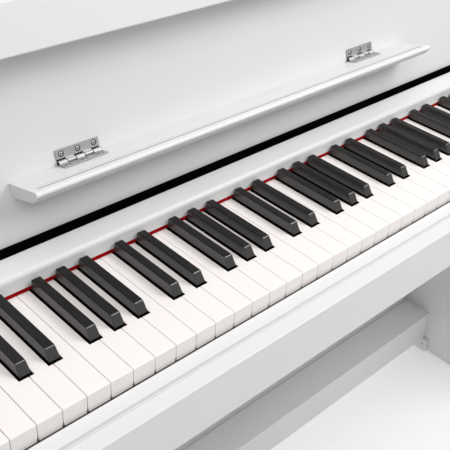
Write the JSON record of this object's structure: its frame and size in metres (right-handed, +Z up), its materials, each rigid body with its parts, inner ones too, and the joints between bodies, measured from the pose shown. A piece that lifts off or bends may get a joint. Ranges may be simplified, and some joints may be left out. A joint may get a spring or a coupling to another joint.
{
  "type": "digital piano on stand",
  "caption": "Full-size digital piano in a board cabinet stand, with a lid that stands open on its hinge and carries a fold-out music ledge.",
  "frame": {"origin": "on the floor at the middle of the footprint", "axes": "+X along the keyboard towards the treble end, +Y towards the back, +Z up"},
  "size_m": [1.371, 0.3746, 0.9959],
  "materials": {
    "white_paint": "satin white foil on fibreboard, faint roller texture",
    "white_key_plastic": "warm white moulded key tops, soft gloss",
    "black_key_plastic": "charcoal black, fine grain, matte",
    "red_felt": "deep red woven felt",
    "nickel_steel": "nickel plated pressed steel hinge",
    "black_steel": "black continuous hinge",
    "zinc_steel": "zinc plated pressed steel",
    "pedal_chrome": "polished chrome plate",
    "black_plastic": "black moulded plastic",
    "glide_plastic": "grey plastic glide strip",
    "circuit_board": "green circuit board"
  },
  "bodies": {
    "cabinet": {"left_side_panel": "white_paint", "right_side_panel": "white_paint", "left_foot_block": "white_paint", "right_foot_block": "white_paint", "back_board": "white_paint", "pedal_beam": "white_paint", "key_bed": "white_paint", "apron": "white_paint", "key_slip": "white_paint", "left_cheek_block": "white_paint", "right_cheek_block": "white_paint", "fascia_board": "white_paint", "hinge_rail": "white_paint", "top_board": "white_paint", "rear_panel": "white_paint", "left_glide_strip": "glide_plastic", "right_glide_strip": "glide_plastic", "pedal_bracket": "zinc_steel", "pedal_axle": "zinc_steel", "key_chassis": "zinc_steel", "socket_plate": "black_plastic", "left_speaker": "black_plastic", "right_speaker": "black_plastic", "felt_strip": "red_felt", "contact_board": "circuit_board", "main_board": "circuit_board", "white_keys_low": "white_key_plastic", "white_keys_high": "white_key_plastic", "black_keys_low": "black_key_plastic", "black_keys_high": "black_key_plastic", "lid_hinge_fixed_leaf": "black_steel", "lid_hinge_pin": "black_steel"},
    "lid": {"lid_board": "white_paint", "lid_lip": "white_paint", "lid_hinge_moving_leaf": "black_steel", "left_ledge_hinge_upper_leaf": "nickel_steel", "right_ledge_hinge_upper_leaf": "nickel_steel"},
    "ledge": {"music_ledge": "white_paint", "left_ledge_hinge_lower_leaf": "nickel_steel", "right_ledge_hinge_lower_leaf": "nickel_steel"},
    "key_c": {"key_c": "white_key_plastic"},
    "key_c_sharp": {"key_c_sharp": "black_key_plastic"},
    "key_d": {"key_d": "white_key_plastic"},
    "key_d_sharp": {"key_d_sharp": "black_key_plastic"},
    "key_e": {"key_e": "white_key_plastic"},
    "key_f": {"key_f": "white_key_plastic"},
    "key_f_sharp": {"key_f_sharp": "black_key_plastic"},
    "key_g": {"key_g": "white_key_plastic"},
    "key_g_sharp": {"key_g_sharp": "black_key_plastic"},
    "key_a": {"key_a": "white_key_plastic"},
    "key_a_sharp": {"key_a_sharp": "black_key_plastic"},
    "key_b": {"key_b": "white_key_plastic"},
    "soft_pedal": {"soft_pedal": "pedal_chrome"},
    "sostenuto_pedal": {"sostenuto_pedal": "pedal_chrome"},
    "sustain_pedal": {"sustain_pedal": "pedal_chrome"},
    "power_button": {"power_button": "black_plastic"},
    "volume_knob": {"volume_knob": "black_plastic"},
    "left_adjuster_foot": {"left_adjuster_foot": "black_plastic"},
    "right_adjuster_foot": {"right_adjuster_foot": "black_plastic"}
  },
  "joints": [
    {"name": "lid_close", "type": "hinge", "parent": "cabinet", "child": "lid", "pos_m": [0, 0.02825, 0.764], "axis": [1, 0, 0], "range_deg": [0, 105]},
    {"name": "music_ledge_fold", "type": "hinge", "parent": "lid", "child": "ledge", "pos_m": [0, 0.045, 0.82498], "axis": [-1, 0, 0], "range_deg": [0, 90]},
    {"name": "key_c_press", "type": "hinge", "parent": "cabinet", "child": "key_c", "pos_m": [0, 0.08025, 0.725], "axis": [1, 0, 0], "range_deg": [0, 2.5], "stiffness_Nm_per_rad": 0.8, "springref_deg": -20.05},
    {"name": "key_c_sharp_press", "type": "hinge", "parent": "cabinet", "child": "key_c_sharp", "pos_m": [0, 0.08025, 0.725], "axis": [1, 0, 0], "range_deg": [0, 2.5], "stiffness_Nm_per_rad": 0.8, "springref_deg": -20.05},
    {"name": "key_d_press", "type": "hinge", "parent": "cabinet", "child": "key_d", "pos_m": [0, 0.08025, 0.725], "axis": [1, 0, 0], "range_deg": [0, 2.5], "stiffness_Nm_per_rad": 0.8, "springref_deg": -20.05},
    {"name": "key_d_sharp_press", "type": "hinge", "parent": "cabinet", "child": "key_d_sharp", "pos_m": [0, 0.08025, 0.725], "axis": [1, 0, 0], "range_deg": [0, 2.5], "stiffness_Nm_per_rad": 0.8, "springref_deg": -20.05},
    {"name": "key_e_press", "type": "hinge", "parent": "cabinet", "child": "key_e", "pos_m": [0, 0.08025, 0.725], "axis": [1, 0, 0], "range_deg": [0, 2.5], "stiffness_Nm_per_rad": 0.8, "springref_deg": -20.05},
    {"name": "key_f_press", "type": "hinge", "parent": "cabinet", "child": "key_f", "pos_m": [0, 0.08025, 0.725], "axis": [1, 0, 0], "range_deg": [0, 2.5], "stiffness_Nm_per_rad": 0.8, "springref_deg": -20.05},
    {"name": "key_f_sharp_press", "type": "hinge", "parent": "cabinet", "child": "key_f_sharp", "pos_m": [0, 0.08025, 0.725], "axis": [1, 0, 0], "range_deg": [0, 2.5], "stiffness_Nm_per_rad": 0.8, "springref_deg": -20.05},
    {"name": "key_g_press", "type": "hinge", "parent": "cabinet", "child": "key_g", "pos_m": [0, 0.08025, 0.725], "axis": [1, 0, 0], "range_deg": [0, 2.5], "stiffness_Nm_per_rad": 0.8, "springref_deg": -20.05},
    {"name": "key_g_sharp_press", "type": "hinge", "parent": "cabinet", "child": "key_g_sharp", "pos_m": [0, 0.08025, 0.725], "axis": [1, 0, 0], "range_deg": [0, 2.5], "stiffness_Nm_per_rad": 0.8, "springref_deg": -20.05},
    {"name": "key_a_press", "type": "hinge", "parent": "cabinet", "child": "key_a", "pos_m": [0, 0.08025, 0.725], "axis": [1, 0, 0], "range_deg": [0, 2.5], "stiffness_Nm_per_rad": 0.8, "springref_deg": -20.05},
    {"name": "key_a_sharp_press", "type": "hinge", "parent": "cabinet", "child": "key_a_sharp", "pos_m": [0, 0.08025, 0.725], "axis": [1, 0, 0], "range_deg": [0, 2.5], "stiffness_Nm_per_rad": 0.8, "springref_deg": -20.05},
    {"name": "key_b_press", "type": "hinge", "parent": "cabinet", "child": "key_b", "pos_m": [0, 0.08025, 0.725], "axis": [1, 0, 0], "range_deg": [0, 2.5], "stiffness_Nm_per_rad": 0.8, "springref_deg": -20.05},
    {"name": "soft_pedal_press", "type": "hinge", "parent": "cabinet", "child": "soft_pedal", "pos_m": [0, 0.14925, 0.062], "axis": [1, 0, 0], "range_deg": [0, 7], "stiffness_Nm_per_rad": 5, "springref_deg": -8.59},
    {"name": "sostenuto_pedal_press", "type": "hinge", "parent": "cabinet", "child": "sostenuto_pedal", "pos_m": [0, 0.14925, 0.062], "axis": [1, 0, 0], "range_deg": [0, 7], "stiffness_Nm_per_rad": 5, "springref_deg": -8.59},
    {"name": "sustain_pedal_press", "type": "hinge", "parent": "cabinet", "child": "sustain_pedal", "pos_m": [0, 0.14925, 0.062], "axis": [1, 0, 0], "range_deg": [0, 7], "stiffness_Nm_per_rad": 5, "springref_deg": -8.59},
    {"name": "power_button_press", "type": "slide", "parent": "cabinet", "child": "power_button", "axis": [0, 0, -1], "range_m": [0, 0.0025], "stiffness_N_per_m": 300, "springref_m": -0.004},
    {"name": "volume_knob_turn", "type": "hinge", "parent": "cabinet", "child": "volume_knob", "pos_m": [-0.64, -0.05575, 0.758], "axis": [0, 0, 1], "range_deg": [-140, 140]},
    {"name": "left_adjuster_foot_screw", "type": "slide", "parent": "cabinet", "child": "left_adjuster_foot", "axis": [0, 0, 1], "range_m": [0, 0.02]},
    {"name": "right_adjuster_foot_screw", "type": "slide", "parent": "cabinet", "child": "right_adjuster_foot", "axis": [0, 0, 1], "range_m": [0, 0.02]}
  ],
  "couplings": [
    {"joint": "music_ledge_fold", "follows": "lid_close", "ratio": 0.857}
  ]
}
